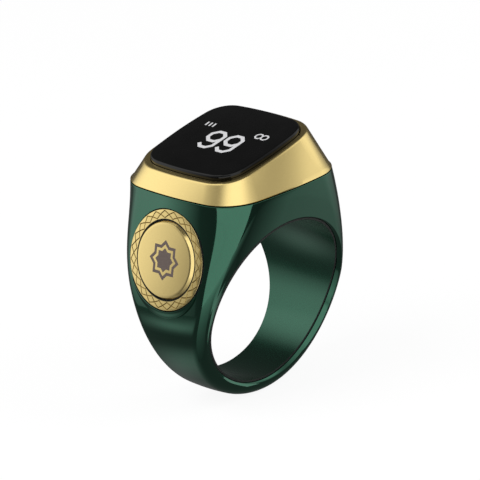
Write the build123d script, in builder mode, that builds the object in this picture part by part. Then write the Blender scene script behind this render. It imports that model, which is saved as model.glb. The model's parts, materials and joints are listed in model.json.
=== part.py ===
from build123d import *

import os
from math import cos, radians, sin

# A tally counter worn as a finger ring, in millimetres.
# The origin is the centre of the finger bore. +Y runs along the finger, +Z up to the display,
# and the count button faces -X.

# Finger bore and band
BORE_RADIUS = 10.0
LINER_WALL = 0.3
LINER_INSET = 0.1
BAND_WALL = 2.0
BAND_BOTTOM_WIDTH = 6.8
BAND_MIDDLE_WIDTH = 11.6
BAND_EDGE_ROUND = 1.4
BAND_CROWN = 0.2
BAND_STEPS = 30

# Head of the ring, from the bore's centre up to the seam under the bezel
HEAD_RISE = 4.25
SEAM_SIZE_X = 19.74
SEAM_SIZE_Y = 19.8
SEAM_CORNER = 4.9
SEAM_CROWN = 0.85
HEAD_FLARE = 1.25
HEAD_WALL = 1.57
HEAD_CORNER_WALL = 1.6
ROOF_WALL = 1.3
HEAD_STEPS = 8

# Each side of the head stays upright for a while and then falls inwards to the seam
BUTTON_SIDE_HOLD = 3.0
BUTTON_SIDE_FALL = 2.3
FAR_SIDE_HOLD = 2.0
FAR_SIDE_FALL = 2.0

# Bezel
BEZEL_RISE = 3.73
BEZEL_SHIFT = -0.575
DISPLAY_TILT = 12.0
BEZEL_INSET_X = 1.91
BEZEL_INSET_Y = 1.81
BEZEL_TOP_CORNER = 3.9
BEZEL_TOP_CROWN = 0.55
BEZEL_LAND = 0.71
BEZEL_SKIRT_DEPTH = 1.05
BEZEL_SKIRT_WALL = 0.5
BEZEL_SIDE_WALL = 0.5
BEZEL_LEDGE = 0.5

# Display, counted downwards from the plane of the bezel's top
GLASS_THICKNESS = 1.35
GLASS_PROUD = 0.57
GLASS_EDGE = 0.4
GASKET_THICKNESS = 0.12
FILM_THICKNESS = 0.1
OLED_BORDER_X = 2.35
OLED_BORDER_Y = 1.48
OLED_THICKNESS = 1.2
OLED_CORNER = 0.8
PAD_THICKNESS = 0.3
PAD_MARGIN = 0.6
BOARD_MARGIN_X = 1.66
BOARD_MARGIN_Y = 1.09
BOARD_THICKNESS = 0.8
BOARD_CORNER = 2.8
CHIP_SIZE = 4.0
CHIP_THICKNESS = 0.8
CHIP_X = 2.5
CHIP_INSET = 3.8

# Battery, in the corner of the head away from the button
BATTERY_THICKNESS = 2.8
BATTERY_CORNER = 1.2
BATTERY_PAD = 0.1
BATTERY_MARGIN = 1.2
BATTERY_GAP = 0.3
TAB_WIDTH = 0.8
TAB_THICKNESS = 0.12
TAB_SPACING = 1.4
TAB_INSET = 2.4
TAB_REACH = 0.4

# Vibration motor, beside the battery
MOTOR_RADIUS = 3.0
MOTOR_HEIGHT = 2.0
MOTOR_MARGIN = 0.95
MOTOR_WALL = 0.2
MOTOR_BASE = 0.25
MOTOR_SHAFT_RADIUS = 0.3
ROTOR_HUB_RADIUS = 0.8
ROTOR_HEIGHT = 1.1
ROTOR_SPREAD = 200.0

# Count button on its flat pad
BUTTON_DROP = 7.15
BUTTON_SINK = 0.08
BUTTON_TILT = 13.4
BUTTON_PAD_RADIUS = 6.45
BUTTON_PAD_DEPTH = 1.5
BUTTON_PAD_BEVEL = 0.45
BUTTON_RING_RADIUS = 5.87
BUTTON_LIP = 0.4
BUTTON_CAP_RADIUS = 4.55
BUTTON_CAP_PROUD = 0.1
BUTTON_BEVEL_WIDTH = 0.57
BUTTON_BEVEL_DEPTH = 0.32
BUTTON_FLANGE_RADIUS = 5.05
BUTTON_FLANGE = 0.35
BUTTON_SIDE_GAP = 0.08
BUTTON_PRESS = 0.25
NIB_RADIUS = 0.9
SEAL_WIDTH = 1.6
SEAL_PRESSED = 0.15

# Click dome under the button, on its ribbon and plate
DOME_RADIUS = 2.2
DOME_TOP_RADIUS = 1.2
DOME_WALL = 0.06
DOME_GAP = 0.03
FLEX_THICKNESS = 0.12
FLEX_WIDTH = 2.6
FLEX_LAP = 1.4
STIFFENER = 0.16

# Charging contacts in the roof of the bore
CONTACT_ANGLE = 15.0
CONTACT_SPACING = 4.4
CONTACT_HEAD_RADIUS = 0.9
CONTACT_HEAD = 0.6
CONTACT_STEM_RADIUS = 0.45
CONTACT_SINK = 0.05
CONTACT_STAND = 0.3
LEAF_WIDTH = 1.2
LEAF_THICKNESS = 0.12
LEAF_LEAN = 0.6
LEAF_TAIL = 2.4
LEAF_ROOM = 0.8

# Clearances
BOND_GAP = 0.03
ASSEMBLY_GAP = 0.05
RUNNING_GAP = 0.04
ROOM = 0.25

# Sizes that follow from those above
LINER_RADIUS = BORE_RADIUS + LINER_WALL
SLEEVE_RADIUS = LINER_RADIUS + BOND_GAP
BAND_RADIUS = BORE_RADIUS + BAND_WALL
SEAM_Z = BORE_RADIUS + HEAD_RISE
FLOOR_Z = BORE_RADIUS + ROOF_WALL
CAVITY_X = SEAM_SIZE_X - 2 * HEAD_WALL
CAVITY_Y = SEAM_SIZE_Y - 2 * HEAD_WALL
CAVITY_CORNER = SEAM_CORNER - HEAD_CORNER_WALL
BEZEL_TOP_X = SEAM_SIZE_X - 2 * BEZEL_INSET_X
BEZEL_TOP_Y = SEAM_SIZE_Y - 2 * BEZEL_INSET_Y
GLASS_X = BEZEL_TOP_X - 2 * BEZEL_LAND
GLASS_Y = BEZEL_TOP_Y - 2 * BEZEL_LAND
GLASS_CORNER = BEZEL_TOP_CORNER - BEZEL_LAND
GLASS_BACK = GLASS_THICKNESS - GLASS_PROUD
LEDGE_TOP = GLASS_BACK + GASKET_THICKNESS
LEDGE_BACK = LEDGE_TOP + BEZEL_LEDGE
OLED_X = GLASS_X - 2 * OLED_BORDER_X
OLED_Y = GLASS_Y - 2 * OLED_BORDER_Y
OLED_TOP = GLASS_BACK + FILM_THICKNESS
OLED_BACK = OLED_TOP + OLED_THICKNESS
BOARD_X = BEZEL_TOP_X - 2 * BOARD_MARGIN_X
BOARD_Y = BEZEL_TOP_Y - 2 * BOARD_MARGIN_Y
BOARD_TOP = OLED_BACK + PAD_THICKNESS
BOARD_BACK = BOARD_TOP + BOARD_THICKNESS
BUTTON_RING_DEPTH = BUTTON_LIP + ASSEMBLY_GAP + BUTTON_FLANGE + BUTTON_PRESS + SEAL_PRESSED
DOME_RISE = BUTTON_PRESS + ASSEMBLY_GAP
NIB_END = BUTTON_RING_DEPTH + 2 * DOME_GAP
DOME_BASE = NIB_END + DOME_GAP + DOME_RISE
POCKET_DEPTH = DOME_BASE + FLEX_THICKNESS + STIFFENER


def side_reach(z, hold, fall):
    """Distance from the finger axis to one side of the head at height z."""
    share = z / SEAM_Z
    return SEAM_SIZE_X / 2 + (BAND_RADIUS - SEAM_SIZE_X / 2) * (1 - share**hold) ** fall


def half_width(z):
    """Half of the ring's width along the finger at height z: an S-curve from band to head."""
    head_growth = (SEAM_SIZE_Y - BAND_MIDDLE_WIDTH) / 2
    band_growth = (BAND_MIDDLE_WIDTH - BAND_BOTTOM_WIDTH) / 2
    if z >= 0:
        return SEAM_SIZE_Y / 2 - head_growth * (1 - z / SEAM_Z) ** HEAD_FLARE
    band_flare = HEAD_FLARE * head_growth / SEAM_Z * BAND_RADIUS / band_growth
    return BAND_BOTTOM_WIDTH / 2 + band_growth * (1 + z / BAND_RADIUS) ** band_flare


def bowed(start, middle, end, crown):
    """One side of an outline: an arc, or a line where it isn't crowned."""
    if crown == 0:
        return Line(start, end)
    return ThreePointArc(start, middle, end)


def cushion(plane, left, right, half_y, crown_x, crown_y, corner):
    """Rounded rectangle with bowed sides, reaching from -left to right and half_y each way."""
    low_x = crown_x - left
    high_x = right - crown_x
    edge_y = half_y - crown_y
    middle_x = (high_x + low_x) / 2
    with BuildSketch(plane) as outline:
        with BuildLine():
            bowed((low_x, -edge_y), (middle_x, -half_y), (high_x, -edge_y), crown_y)
            bowed((high_x, -edge_y), (right, 0), (high_x, edge_y), crown_x)
            bowed((high_x, edge_y), (middle_x, half_y), (low_x, edge_y), crown_y)
            bowed((low_x, edge_y), (-left, 0), (low_x, -edge_y), crown_x)
        make_face()
        fillet(outline.vertices(), radius=corner)
    return outline.sketch


def head_section(share):
    """Level section of the head, at a share of the way from the bore's centre to the seam."""
    z = share * SEAM_Z
    return cushion(
        Plane.XY.offset(z),
        side_reach(z, BUTTON_SIDE_HOLD, BUTTON_SIDE_FALL),
        side_reach(z, FAR_SIDE_HOLD, FAR_SIDE_FALL),
        half_width(z),
        BAND_CROWN + (SEAM_CROWN - BAND_CROWN) * share**2,
        SEAM_CROWN * share**2,
        BAND_EDGE_ROUND + (SEAM_CORNER - BAND_EDGE_ROUND) * share**2,
    )


def band_section(angle):
    """Section of the band on a plane through the finger axis, an angle below +X."""
    outward = Vector(cos(radians(angle)), 0, -sin(radians(angle)))
    across = Vector(0, 1, 0)
    inner = SLEEVE_RADIUS
    outer = BAND_RADIUS - BAND_CROWN
    inner_half = half_width(-inner * sin(radians(angle)))
    outer_half = half_width(-outer * sin(radians(angle)))
    with BuildSketch(Plane((0, 0, 0), x_dir=outward, z_dir=outward.cross(across))) as section:
        with BuildLine():
            Line((inner, inner_half), (inner, -inner_half))
            Line((inner, -inner_half), (outer, -outer_half))
            ThreePointArc((outer, -outer_half), (BAND_RADIUS, 0), (outer, outer_half))
            Line((outer, outer_half), (inner, inner_half))
        make_face()
        fillet(section.vertices().sort_by(Axis.X)[-2:], radius=BAND_EDGE_ROUND)
    return section.sketch


def below(plane, depth):
    """A plane parallel to the given one, a depth below it."""
    return plane.offset(-depth)


def in_xz(plane, along_x, along_y, depth):
    """Point of a tilted plane, given as (x, z) in the plane of the ring's middle section."""
    point = plane.from_local_coords((along_x, along_y, -depth))
    return (point.X, point.Z)


def crossing(first, second, third, fourth):
    """Where the line through the first two points meets the line through the last two."""
    ax, az = second[0] - first[0], second[1] - first[1]
    bx, bz = fourth[0] - third[0], fourth[1] - third[1]
    share = ((third[0] - first[0]) * bz - (third[1] - first[1]) * bx) / (ax * bz - az * bx)
    return (first[0] + share * ax, first[1] + share * az)


def folded_strip(points, thickness, width, middle_y=0.0):
    """Flat strip of metal or ribbon folded along points of the ring's middle section."""
    with BuildPart() as strip:
        with BuildSketch(Plane.XZ.offset(-middle_y)):
            with BuildLine():
                Polyline(*points)
            trace(line_width=thickness)
        extrude(amount=width / 2, both=True)
    return strip.part


def finish(part, name):
    """Label a piece and write it."""
    part.label = name
    export_step(part, f"parts/{name}.step")


os.makedirs("parts", exist_ok=True)

# Planes of the display and of the button's face
tilt = radians(DISPLAY_TILT)
display_plane = Plane(
    (BEZEL_SHIFT, 0, SEAM_Z + BEZEL_RISE),
    x_dir=(cos(tilt), 0, sin(tilt)),
    z_dir=(-sin(tilt), 0, cos(tilt)),
)
lean = radians(BUTTON_TILT)
button_z = SEAM_Z - BUTTON_DROP
button_x = BUTTON_SINK - side_reach(button_z, BUTTON_SIDE_HOLD, BUTTON_SIDE_FALL)
button_plane = Plane(
    (button_x, 0, button_z), x_dir=(0, -1, 0), z_dir=(-cos(lean), 0, sin(lean))
)
button_axis = Axis(button_plane.origin, button_plane.z_dir)
button_profile = Plane(
    button_plane.origin,
    x_dir=button_plane.x_dir,
    z_dir=button_plane.x_dir.cross(button_plane.z_dir),
)

# Charging contacts stand on rays from the finger axis, leaning to the button side
contact_lean = radians(CONTACT_ANGLE)
contact_top = (FLOOR_Z + CONTACT_STAND) / cos(contact_lean)
contact_base = BORE_RADIUS + CONTACT_SINK
contact_planes = [
    Plane(
        (-contact_base * sin(contact_lean), side * CONTACT_SPACING / 2, contact_base * cos(contact_lean)),
        x_dir=(0, 1, 0),
        z_dir=(-sin(contact_lean), 0, cos(contact_lean)),
    )
    for side in (-1, 1)
]
pin_end = (-contact_top * sin(contact_lean), contact_top * cos(contact_lean))
leaf_rise = pin_end[0] + LEAF_LEAN

# Ribbon of the button: up its pocket, through a slot, and along the underside of the board
ribbon_depth = DOME_BASE + FLEX_THICKNESS / 2
ribbon_start = in_xz(button_plane, 0, -DOME_RADIUS, ribbon_depth)
ribbon_end = in_xz(display_plane, FLEX_LAP - BOARD_X / 2, 0, BOARD_BACK + FLEX_THICKNESS / 2)
ribbon_edge = in_xz(display_plane, -BOARD_X / 2, 0, BOARD_BACK + FLEX_THICKNESS / 2)
ribbon_corner = crossing(
    ribbon_start, in_xz(button_plane, 0, 0, ribbon_depth), ribbon_end, ribbon_edge
)
ribbon_points = [ribbon_start, ribbon_corner, ribbon_end]
ribbon_slot = folded_strip(ribbon_points, FLEX_THICKNESS + 2 * ROOM, FLEX_WIDTH + 2 * ROOM)
slot_length = button_plane.to_local_coords(Vector(ribbon_corner[0], 0, ribbon_corner[1])).Y + ROOM

# Flat pad that carries the button
with BuildPart() as button_pad:
    with BuildSketch(below(button_plane, BUTTON_PAD_DEPTH)):
        Circle(BUTTON_PAD_RADIUS)
    extrude(amount=BUTTON_PAD_DEPTH)
    rim = button_pad.faces().sort_by(button_axis)[-1].edges()
    chamfer(rim, length=BUTTON_PAD_BEVEL)

# Ring body: flared head and tapering band, with room for the works
with BuildPart() as ring_body:
    loft([head_section(step / HEAD_STEPS) for step in range(HEAD_STEPS + 1)], ruled=True)
    add(button_pad.part)
    with BuildSketch(Plane.XZ):
        Circle(SLEEVE_RADIUS)
    extrude(amount=SEAM_SIZE_Y, both=True, mode=Mode.SUBTRACT)
    with BuildSketch(Plane.XY.offset(FLOOR_Z)):
        RectangleRounded(CAVITY_X, CAVITY_Y, CAVITY_CORNER)
    extrude(amount=SEAM_Z - FLOOR_Z, mode=Mode.SUBTRACT)
    with BuildSketch(below(button_plane, BUTTON_RING_DEPTH)):
        Circle(BUTTON_RING_RADIUS + BOND_GAP)
    extrude(amount=BUTTON_RING_DEPTH + BUTTON_PAD_DEPTH, mode=Mode.SUBTRACT)
    with BuildSketch(below(button_plane, BUTTON_RING_DEPTH)):
        Circle(DOME_RADIUS + ROOM)
        with Locations((0, slot_length / 2)):
            Rectangle(FLEX_WIDTH + 2 * ROOM, slot_length)
    extrude(amount=BUTTON_RING_DEPTH - POCKET_DEPTH, mode=Mode.SUBTRACT)
    add(ribbon_slot, mode=Mode.SUBTRACT)
    for plane in contact_planes:
        with BuildSketch(plane):
            Circle(CONTACT_HEAD_RADIUS + BOND_GAP)
        extrude(amount=CONTACT_HEAD, mode=Mode.SUBTRACT)
        with BuildSketch(plane):
            Circle(CONTACT_STEM_RADIUS + BOND_GAP)
        extrude(amount=contact_top, mode=Mode.SUBTRACT)
    loft([band_section(180 * step / BAND_STEPS) for step in range(BAND_STEPS + 1)], ruled=True)
finish(ring_body.part, "ring_body")

# Sleeve that lines the bore, cut to the ring's curved faces
liner_heights = [LINER_RADIUS * share for share in (-1, -0.75, -0.5, -0.25, 0, 0.25, 0.5, 0.75, 1)]
with BuildPart() as bore_liner:
    with BuildSketch(Plane.YZ):
        with BuildLine():
            front = Spline([(half_width(z) - LINER_INSET, z) for z in liner_heights])
            back = Spline([(LINER_INSET - half_width(z), z) for z in liner_heights])
            Line(front @ 0, back @ 0)
            Line(front @ 1, back @ 1)
        make_face()
    extrude(amount=BAND_RADIUS, both=True)
    with BuildSketch(Plane.XZ):
        Circle(LINER_RADIUS)
        Circle(BORE_RADIUS, mode=Mode.SUBTRACT)
    extrude(amount=SEAM_SIZE_Y, both=True, mode=Mode.INTERSECT)
    for plane in contact_planes:
        with BuildSketch(below(plane, LINER_WALL)):
            Circle(CONTACT_HEAD_RADIUS + ASSEMBLY_GAP)
        extrude(amount=3 * LINER_WALL, mode=Mode.SUBTRACT)
finish(bore_liner.part, "bore_liner")

# Bezel: straight-sided wedge from the seam up to the tilted top, hollow, with a seat for the glass
skirt_x = CAVITY_X / 2 - ASSEMBLY_GAP
skirt_y = CAVITY_Y / 2 - ASSEMBLY_GAP
hollow_x = skirt_x - BEZEL_SKIRT_WALL
hollow_y = skirt_y - BEZEL_SKIRT_WALL
hollow_corner = CAVITY_CORNER - BEZEL_SKIRT_WALL
with BuildPart() as bezel:
    seam_half = SEAM_SIZE_X / 2
    top_half = BEZEL_TOP_X / 2
    loft(
        [
            cushion(
                Plane.XY.offset(SEAM_Z), seam_half, seam_half, SEAM_SIZE_Y / 2,
                SEAM_CROWN, SEAM_CROWN, SEAM_CORNER,
            ),
            cushion(
                display_plane, top_half, top_half, BEZEL_TOP_Y / 2,
                BEZEL_TOP_CROWN, BEZEL_TOP_CROWN, BEZEL_TOP_CORNER,
            ),
        ],
        ruled=True,
    )
    with BuildSketch(Plane.XY.offset(SEAM_Z)):
        RectangleRounded(2 * skirt_x, 2 * skirt_y, CAVITY_CORNER)
    extrude(amount=-BEZEL_SKIRT_DEPTH)
    with BuildSketch(Plane.XY.offset(SEAM_Z - BEZEL_SKIRT_DEPTH)):
        RectangleRounded(2 * hollow_x, 2 * hollow_y, hollow_corner)
    extrude(amount=BEZEL_SKIRT_DEPTH, mode=Mode.SUBTRACT)
    inner_x = top_half - BEZEL_SIDE_WALL
    inner_y = BEZEL_TOP_Y / 2 - BEZEL_SIDE_WALL
    loft(
        [
            cushion(Plane.XY.offset(SEAM_Z), hollow_x, hollow_x, hollow_y, 0, 0, hollow_corner),
            cushion(below(display_plane, LEDGE_BACK), inner_x, inner_x, inner_y, 0, 0, hollow_corner),
        ],
        ruled=True,
        mode=Mode.SUBTRACT,
    )
    glass_seat = cushion(
        below(display_plane, LEDGE_TOP), GLASS_X / 2, GLASS_X / 2, GLASS_Y / 2,
        BEZEL_TOP_CROWN, BEZEL_TOP_CROWN, GLASS_CORNER,
    )
    extrude(glass_seat, amount=LEDGE_TOP, mode=Mode.SUBTRACT)
    with BuildSketch(below(display_plane, LEDGE_BACK)):
        RectangleRounded(OLED_X + 2 * ROOM, OLED_Y + 2 * ROOM, OLED_CORNER + ROOM)
    extrude(amount=BEZEL_LEDGE, mode=Mode.SUBTRACT)
    add(ribbon_slot, mode=Mode.SUBTRACT)
finish(bezel.part, "bezel")

# Cover glass with softened upper edges
glass_half_x = GLASS_X / 2 - BOND_GAP
glass_half_y = GLASS_Y / 2 - BOND_GAP
with BuildPart() as display_glass:
    glass_outline = cushion(
        below(display_plane, GLASS_BACK), glass_half_x, glass_half_x, glass_half_y,
        BEZEL_TOP_CROWN, BEZEL_TOP_CROWN, GLASS_CORNER - BOND_GAP,
    )
    extrude(glass_outline, amount=GLASS_THICKNESS)
    glass_rim = display_glass.faces().sort_by(Axis(display_plane.origin, display_plane.z_dir))[-1].edges()
    chamfer(glass_rim, length=GLASS_EDGE)
finish(display_glass.part, "display_glass")

# Bonding frame between the glass and the bezel's ledge
with BuildPart() as glass_gasket:
    gasket_outline = cushion(
        below(display_plane, LEDGE_TOP), glass_half_x, glass_half_x, glass_half_y,
        BEZEL_TOP_CROWN, BEZEL_TOP_CROWN, GLASS_CORNER - BOND_GAP,
    )
    extrude(gasket_outline, amount=GASKET_THICKNESS)
    with BuildSketch(below(display_plane, LEDGE_TOP)):
        RectangleRounded(OLED_X + 2 * ROOM, OLED_Y + 2 * ROOM, OLED_CORNER + ROOM)
    extrude(amount=GASKET_THICKNESS, mode=Mode.SUBTRACT)
finish(glass_gasket.part, "glass_gasket")

# Clear film, display, foam pad and board, stacked under the glass
with BuildPart() as display_film:
    with BuildSketch(below(display_plane, OLED_TOP)):
        RectangleRounded(OLED_X, OLED_Y, OLED_CORNER)
    extrude(amount=FILM_THICKNESS)
finish(display_film.part, "display_film")

with BuildPart() as oled_panel:
    with BuildSketch(below(display_plane, OLED_BACK)):
        RectangleRounded(OLED_X, OLED_Y, OLED_CORNER)
    extrude(amount=OLED_THICKNESS)
finish(oled_panel.part, "oled_panel")

with BuildPart() as display_pad:
    with BuildSketch(below(display_plane, BOARD_TOP)):
        RectangleRounded(OLED_X - 2 * PAD_MARGIN, OLED_Y - 2 * PAD_MARGIN, OLED_CORNER)
    extrude(amount=PAD_THICKNESS)
finish(display_pad.part, "display_pad")

with BuildPart() as main_board:
    with BuildSketch(below(display_plane, BOARD_BACK)):
        RectangleRounded(BOARD_X, BOARD_Y, BOARD_CORNER)
    extrude(amount=BOARD_THICKNESS)
finish(main_board.part, "main_board")

# Ribbon from the display's lower edge down to the board's upper face
oled_edge = -OLED_X / 2
ribbon_out = OLED_BACK - FLEX_THICKNESS
ribbon_down = BOARD_TOP - FLEX_THICKNESS / 2
oled_flex = folded_strip(
    [
        in_xz(display_plane, oled_edge, 0, ribbon_out),
        in_xz(display_plane, oled_edge - 2 * PAD_THICKNESS, 0, ribbon_out),
        in_xz(display_plane, oled_edge - 3 * PAD_THICKNESS, 0, ribbon_down),
        in_xz(display_plane, -BOARD_X / 2, 0, ribbon_down),
    ],
    FLEX_THICKNESS,
    OLED_Y / 2,
)
finish(oled_flex, "oled_flex")

# Controller and the small parts soldered under the board
with BuildPart() as controller_chip:
    with BuildSketch(below(display_plane, BOARD_BACK)):
        with Locations((CHIP_X, CHIP_INSET - BOARD_Y / 2)):
            Rectangle(CHIP_SIZE, CHIP_SIZE)
    extrude(amount=-CHIP_THICKNESS)
finish(controller_chip.part, "controller_chip")

# Each: place along the board, edge of the board that it is counted from, distance to it, size, height
component_places = [
    (3.4, 1, 3.4, (2.0, 2.0), 0.9),
    (0.6, 1, 2.6, (2.0, 1.6), 0.5),
    (0.2, -1, 1.3, (1.0, 0.5), 0.35),
    (1.7, -1, 1.3, (1.0, 0.5), 0.35),
    (0.6, 1, 4.8, (1.0, 0.5), 0.35),
    (-1.3, 1, 1.8, (1.0, 0.5), 0.35),
    (-2.0, 1, 0.7, (1.6, 0.8), 0.45),
]
with BuildPart() as board_components:
    for along, edge, inset, size, height in component_places:
        with BuildSketch(below(display_plane, BOARD_BACK)):
            with Locations((along, edge * (BOARD_Y / 2 - inset))):
                Rectangle(*size)
        extrude(amount=-height)
finish(board_components.part, "board_components")

# Pouch cell on its adhesive pad, in the space that the motor and the contact springs leave free
motor_x = CAVITY_X / 2 - MOTOR_MARGIN - MOTOR_RADIUS
motor_y = CAVITY_Y / 2 - MOTOR_MARGIN - MOTOR_RADIUS
battery_near = leaf_rise + LEAF_ROOM
battery_far = CAVITY_X / 2 - BATTERY_MARGIN
battery_low = BATTERY_MARGIN - CAVITY_Y / 2
battery_high = motor_y - MOTOR_RADIUS - BATTERY_GAP
battery_size_x = battery_far - battery_near
battery_size_y = battery_high - battery_low
battery_spot = ((battery_near + battery_far) / 2, (battery_low + battery_high) / 2)
battery_z = FLOOR_Z + BATTERY_PAD
with BuildPart() as battery_pad:
    with BuildSketch(Plane.XY.offset(FLOOR_Z)):
        with Locations(battery_spot):
            RectangleRounded(battery_size_x - 2 * ROOM, battery_size_y - 2 * ROOM, BATTERY_CORNER)
    extrude(amount=BATTERY_PAD)
finish(battery_pad.part, "battery_pad")

with BuildPart() as battery:
    with BuildSketch(Plane.XY.offset(battery_z)):
        with Locations(battery_spot):
            RectangleRounded(battery_size_x, battery_size_y, BATTERY_CORNER)
    extrude(amount=BATTERY_THICKNESS)
finish(battery.part, "battery")

# Two tabs from the cell's edge up to the board, folded back over the cell
tab_start = (battery_near, battery_z + BATTERY_THICKNESS / 2)
tab_bend = (battery_near - TAB_REACH, tab_start[1])
tab_line = [in_xz(display_plane, x, 0, BOARD_BACK + TAB_THICKNESS / 2) for x in (-BOARD_X / 2, 0)]
tab_rise = crossing(tab_bend, (tab_bend[0], SEAM_Z), *tab_line)
tab_end = (tab_rise[0] + TAB_WIDTH * cos(tilt), tab_rise[1] + TAB_WIDTH * sin(tilt))
tab_places = [battery_low + TAB_INSET + side * TAB_SPACING / 2 for side in (-1, 1)]
battery_tabs = Compound(
    [
        folded_strip([tab_start, tab_bend, tab_rise, tab_end], TAB_THICKNESS, TAB_WIDTH, y).solid()
        for y in tab_places
    ]
)
finish(battery_tabs, "battery_tabs")

# Coin vibration motor: base, case, fixed shaft and an off-centre weight
motor_spot = (motor_x, motor_y)
with BuildPart() as motor_base:
    with BuildSketch(Plane.XY.offset(FLOOR_Z)):
        with Locations(motor_spot):
            Circle(MOTOR_RADIUS)
    extrude(amount=MOTOR_BASE)
finish(motor_base.part, "motor_base")

with BuildPart() as motor_case:
    with BuildSketch(Plane.XY.offset(FLOOR_Z + MOTOR_BASE)):
        with Locations(motor_spot):
            Circle(MOTOR_RADIUS)
    extrude(amount=MOTOR_HEIGHT - MOTOR_BASE)
    with BuildSketch(Plane.XY.offset(FLOOR_Z + MOTOR_BASE)):
        with Locations(motor_spot):
            Circle(MOTOR_RADIUS - MOTOR_WALL)
    extrude(amount=MOTOR_HEIGHT - MOTOR_BASE - MOTOR_WALL, mode=Mode.SUBTRACT)
finish(motor_case.part, "motor_case")

with BuildPart() as motor_shaft:
    with BuildSketch(Plane.XY.offset(FLOOR_Z + MOTOR_BASE)):
        with Locations(motor_spot):
            Circle(MOTOR_SHAFT_RADIUS)
    extrude(amount=MOTOR_HEIGHT - MOTOR_BASE - MOTOR_WALL)
finish(motor_shaft.part, "motor_shaft")

rotor_radius = MOTOR_RADIUS - MOTOR_WALL - ROOM
rotor_room = MOTOR_HEIGHT - MOTOR_BASE - MOTOR_WALL - ROTOR_HEIGHT
with BuildPart() as motor_rotor:
    with BuildSketch(Plane((*motor_spot, FLOOR_Z + MOTOR_BASE + rotor_room / 2))):
        with BuildLine():
            weight = CenterArc((0, 0), rotor_radius, -ROTOR_SPREAD / 2, ROTOR_SPREAD)
            Line(weight @ 0, (0, 0))
            Line((0, 0), weight @ 1)
        make_face()
        Circle(ROTOR_HUB_RADIUS)
        Circle(MOTOR_SHAFT_RADIUS + RUNNING_GAP, mode=Mode.SUBTRACT)
    extrude(amount=ROTOR_HEIGHT)
finish(motor_rotor.part, "motor_rotor")

# Ornament ring, pressed into its recess, whose lip holds the cap in
lip_radius = BUTTON_CAP_RADIUS + BUTTON_SIDE_GAP
well_radius = BUTTON_FLANGE_RADIUS + BUTTON_SIDE_GAP
with BuildPart() as button_ring:
    with BuildSketch(button_profile):
        with BuildLine():
            Polyline(
                (lip_radius, 0),
                (BUTTON_RING_RADIUS, 0),
                (BUTTON_RING_RADIUS, -BUTTON_RING_DEPTH),
                (well_radius, -BUTTON_RING_DEPTH),
                (well_radius, -BUTTON_LIP),
                (lip_radius, -BUTTON_LIP),
                close=True,
            )
        make_face()
    revolve(axis=button_axis)
finish(button_ring.part, "button_ring")

# Button cap: bevelled face, flange under the lip, and a nib that reaches the dome
flange_top = -BUTTON_LIP - ASSEMBLY_GAP
flange_back = flange_top - BUTTON_FLANGE
with BuildPart() as button_cap:
    with BuildSketch(button_profile):
        with BuildLine():
            Polyline(
                (0, BUTTON_CAP_PROUD),
                (BUTTON_CAP_RADIUS - BUTTON_BEVEL_WIDTH, BUTTON_CAP_PROUD),
                (BUTTON_CAP_RADIUS, BUTTON_CAP_PROUD - BUTTON_BEVEL_DEPTH),
                (BUTTON_CAP_RADIUS, flange_top),
                (BUTTON_FLANGE_RADIUS, flange_top),
                (BUTTON_FLANGE_RADIUS, flange_back),
                (NIB_RADIUS, flange_back),
                (NIB_RADIUS, -NIB_END),
                (0, -NIB_END),
                close=True,
            )
        make_face()
    revolve(axis=button_axis)
finish(button_cap.part, "button_cap")

# Silicone ring on the recess floor, under the cap's flange
with BuildPart() as button_seal:
    with BuildSketch(below(button_plane, BUTTON_RING_DEPTH)):
        Circle(BUTTON_FLANGE_RADIUS - ROOM)
        Circle(BUTTON_FLANGE_RADIUS - ROOM - SEAL_WIDTH, mode=Mode.SUBTRACT)
    extrude(amount=BUTTON_RING_DEPTH + flange_back - DOME_GAP)
finish(button_seal.part, "button_seal")

# Click dome, its ribbon and the plate behind it
with BuildPart() as snap_dome:
    dome_top = DOME_RISE - DOME_BASE
    slant_wall = DOME_WALL * (DOME_RADIUS - DOME_TOP_RADIUS) / DOME_RISE
    with BuildSketch(button_profile):
        with BuildLine():
            Polyline(
                (0, dome_top),
                (DOME_TOP_RADIUS, dome_top),
                (DOME_RADIUS, -DOME_BASE),
                (DOME_RADIUS - slant_wall, -DOME_BASE),
                (DOME_TOP_RADIUS, dome_top - DOME_WALL),
                (0, dome_top - DOME_WALL),
                close=True,
            )
        make_face()
    revolve(axis=button_axis)
finish(snap_dome.part, "snap_dome")

with BuildPart() as button_stiffener:
    with BuildSketch(below(button_plane, POCKET_DEPTH)):
        Circle(DOME_RADIUS)
    extrude(amount=STIFFENER)
finish(button_stiffener.part, "button_stiffener")

button_flex = folded_strip(ribbon_points, FLEX_THICKNESS, FLEX_WIDTH)
finish(button_flex, "button_flex")

# Charging contacts through the roof of the bore, and the leaf springs that carry on to the board
contact_pins = []
for plane in contact_planes:
    with BuildPart() as pin:
        with BuildSketch(plane):
            Circle(CONTACT_HEAD_RADIUS)
        extrude(amount=CONTACT_HEAD - BOND_GAP)
        with BuildSketch(plane):
            Circle(CONTACT_STEM_RADIUS)
        extrude(amount=contact_top - contact_base)
    contact_pins.append(pin.part.solid())
finish(Compound(contact_pins), "charging_contacts")

leaf_low = (pin_end[0], pin_end[1] + LEAF_THICKNESS)
leaf_line = [in_xz(display_plane, x, 0, BOARD_BACK + LEAF_THICKNESS / 2) for x in (-BOARD_X / 2, 0)]
leaf_high = crossing((leaf_rise, 0), (leaf_rise, SEAM_Z), *leaf_line)
leaf_tail = (leaf_high[0] - LEAF_TAIL * cos(tilt), leaf_high[1] - LEAF_TAIL * sin(tilt))
leaf_tip = (leaf_low[0] - LEAF_LEAN, leaf_low[1] + LEAF_LEAN)
leaf_points = [leaf_tail, leaf_high, leaf_low, leaf_tip]
contact_springs = Compound(
    [
        folded_strip(leaf_points, LEAF_THICKNESS, LEAF_WIDTH, plane.origin.Y).solid()
        for plane in contact_planes
    ]
)
finish(contact_springs, "contact_springs")
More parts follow.
